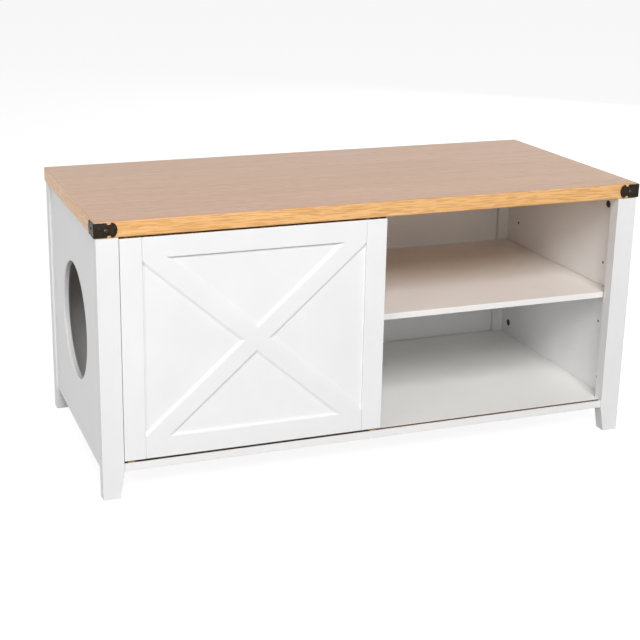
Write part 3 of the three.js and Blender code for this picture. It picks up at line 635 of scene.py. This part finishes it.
def moulded_nylon():
    """Unfilled nylon: slightly translucent tan with a fine moulded texture of 3 mm clouds."""
    made, tree, position = new_material("moulded_nylon_tan")
    clouds = add(tree, "TexNoise", {}, {
        "Vector": position, "Scale": 300.0, "Detail": 3.0, "Roughness": 0.5,
    })
    colour = add(tree, "Mix", {"data_type": "RGBA"}, {
        0: clouds.outputs[0], 6: linear("#a48b55"), 7: linear("#bda26c"),
    })
    relief = add(tree, "Bump", {}, {"Strength": 0.2, "Distance": 0.05 * MM, "Height": clouds.outputs[0]})
    return finish_with(made, {
        "Base Color": colour.outputs[2], "Roughness": 0.5, "IOR": 1.53,
        "Subsurface Weight": 0.1, "Subsurface Scale": 1.5 * MM,
        "Normal": softened(tree, 0.4 * MM, relief.outputs[0]),
    })


dress(
    moulded_nylon(),
    "door_glide_left", "door_glide_right", "door_guide_pin_left", "door_guide_pin_right",
)


# ------------------------------------------------------------------ studio floor
# A plain white paper floor, rolled out far past the cabinet. The camera sees it as nearly pure
# white with the cabinet's faint shadow.

def studio_paper():
    """Pale matt paper for the light that bounces off it. Seen directly or in a reflection, most of
    its white is its own glow, so that only the shadow darkens it."""
    made, tree, _ = new_material("studio_paper_white")
    matt = add(tree, "BsdfDiffuse", {}, {"Color": linear("#a4a4a4")})
    faint = add(tree, "BsdfDiffuse", {}, {"Color": (0.2, 0.2, 0.2, 1.0)})
    glow = add(tree, "Emission", {}, {"Color": (1.0, 1.0, 1.0, 1.0), "Strength": 0.9})
    paper = add(tree, "AddShader", {}, {0: faint.outputs[0], 1: glow.outputs[0]})
    path = add(tree, "LightPath", {}, {})
    seen = add(tree, "Math", {"operation": "MAXIMUM"}, {
        0: path.outputs["Is Camera Ray"], 1: path.outputs["Is Glossy Ray"],
    })
    mixed = add(tree, "MixShader", {}, {0: seen.outputs[0], 1: matt.outputs[0], 2: paper.outputs[0]})
    add(tree, "OutputMaterial", {}, {"Surface": mixed.outputs[0]})
    return made


FLOOR_REACH = 12

floor_corners = [
    (x * FLOOR_REACH, y * FLOOR_REACH, 0) for x, y in ((-1, -1), (1, -1), (1, 1), (-1, 1))
]
floor_mesh = bpy.data.meshes.new("studio_floor")
floor_mesh.from_pydata(floor_corners, [], [(0, 1, 2, 3)])
floor_mesh.materials.append(studio_paper())
floor = bpy.data.objects.new("studio_floor", floor_mesh)
bpy.context.scene.collection.objects.link(floor)


# ------------------------------------------------------------------ light
# A broad high softbox in front does most of the work, and a weak low one reaches into the
# compartments. Two weak ones light the left side, one behind keeps the back and the right side
# readable in other views, and a dim white room fills in.

CABINET_MIDDLE = (0.0, 0.0, 0.3)
LEFT_SIDE_MIDDLE = (-0.55, 0.0, 0.3)

world = bpy.data.worlds.new("white_room")
bpy.context.scene.world = world
world.use_nodes = True
world.node_tree.nodes.clear()
room = world.node_tree
path = add(room, "LightPath", {}, {})
seen = add(room, "Math", {"operation": "MAXIMUM"}, {
    0: path.outputs["Is Camera Ray"], 1: path.outputs["Is Glossy Ray"],
})
lit = add(room, "Background", {}, {"Color": (1.0, 1.0, 1.0, 1.0), "Strength": 0.13})
shown = add(room, "Background", {}, {"Color": (1.0, 1.0, 1.0, 1.0), "Strength": 1.0})
mixed = add(room, "MixShader", {}, {0: seen.outputs[0], 1: lit.outputs[0], 2: shown.outputs[0]})
add(room, "OutputWorld", {}, {"Surface": mixed.outputs[0]})


def softbox(name, place, target, width, height, watts):
    """A rectangular lamp at place that faces target, in metres: it is tipped from straight down by
    the angle between its line to the target and the vertical, then turned about the vertical."""
    lamp = bpy.data.lights.new(name, "AREA")
    lamp.shape = "RECTANGLE"
    lamp.size = width
    lamp.size_y = height
    lamp.energy = watts
    holder = bpy.data.objects.new(name, lamp)
    bpy.context.scene.collection.objects.link(holder)
    away = np.array(place) - np.array(target)
    holder.location = place
    tip = math.acos(away[2] / np.linalg.norm(away))
    holder.rotation_euler = (tip, 0.0, math.atan2(away[0], -away[1]))
    holder.visible_camera = False
    return holder


softbox("softbox_front", (-0.8, -4.75, 4.35), CABINET_MIDDLE, 3.2, 2.4, 308.0)
softbox("softbox_low", (-0.6, -5.5, 1.3), CABINET_MIDDLE, 1.6, 1.0, 17.0)
softbox("softbox_left", (-3.2, -2.3, 1.5), CABINET_MIDDLE, 1.2, 1.2, 31.0)
softbox("softbox_side", (-3.4, 0.9, 1.2), LEFT_SIDE_MIDDLE, 1.0, 1.2, 13.0)
# The rear softbox isn't mirrored, because the lacquered top would show it as a glare.
rear = softbox("softbox_rear", (3.2, 3.0, 1.3), CABINET_MIDDLE, 1.8, 1.4, 95.0)
rear.visible_glossy = False


# ------------------------------------------------------------------ camera
# The photograph's viewpoint, solved from the cabinet's own edges. The focal length and the centre
# are in pixels of its frame, the eye is in metres and the three turns are in radians.

FRAME_PX = 640
SENSOR_WIDTH = 36.0
FOCAL_PX = 1313.496
CENTRE_PX = (270.870, 284.293)
EYE = (-0.986089, -2.428805, 1.082886)
DOWNWARD, ROLL, AZIMUTH = 0.292477, 0.008381, 0.336125

forward = np.array([
    math.sin(AZIMUTH) * math.cos(DOWNWARD), math.cos(AZIMUTH) * math.cos(DOWNWARD), -math.sin(DOWNWARD),
])
level = np.array([math.cos(AZIMUTH), -math.sin(AZIMUTH), 0.0])
square_up = np.cross(level, forward)
across = math.cos(ROLL) * level + math.sin(ROLL) * square_up
upward = math.cos(ROLL) * square_up - math.sin(ROLL) * level

camera_data = bpy.data.cameras.new("camera")
camera_data.sensor_width = SENSOR_WIDTH
camera_data.sensor_fit = "HORIZONTAL"
camera_data.lens = FOCAL_PX * SENSOR_WIDTH / FRAME_PX
camera_data.shift_x = (FRAME_PX / 2 - CENTRE_PX[0]) / FRAME_PX
camera_data.shift_y = (CENTRE_PX[1] - FRAME_PX / 2) / FRAME_PX
camera = bpy.data.objects.new("camera", camera_data)
bpy.context.scene.collection.objects.link(camera)
stance = np.eye(4)
stance[:3, :] = np.stack([across, upward, -forward, EYE], axis=1)
camera.matrix_world = stance.T.tolist()
bpy.context.scene.camera = camera
bpy.context.scene.view_settings.view_transform = "Standard"
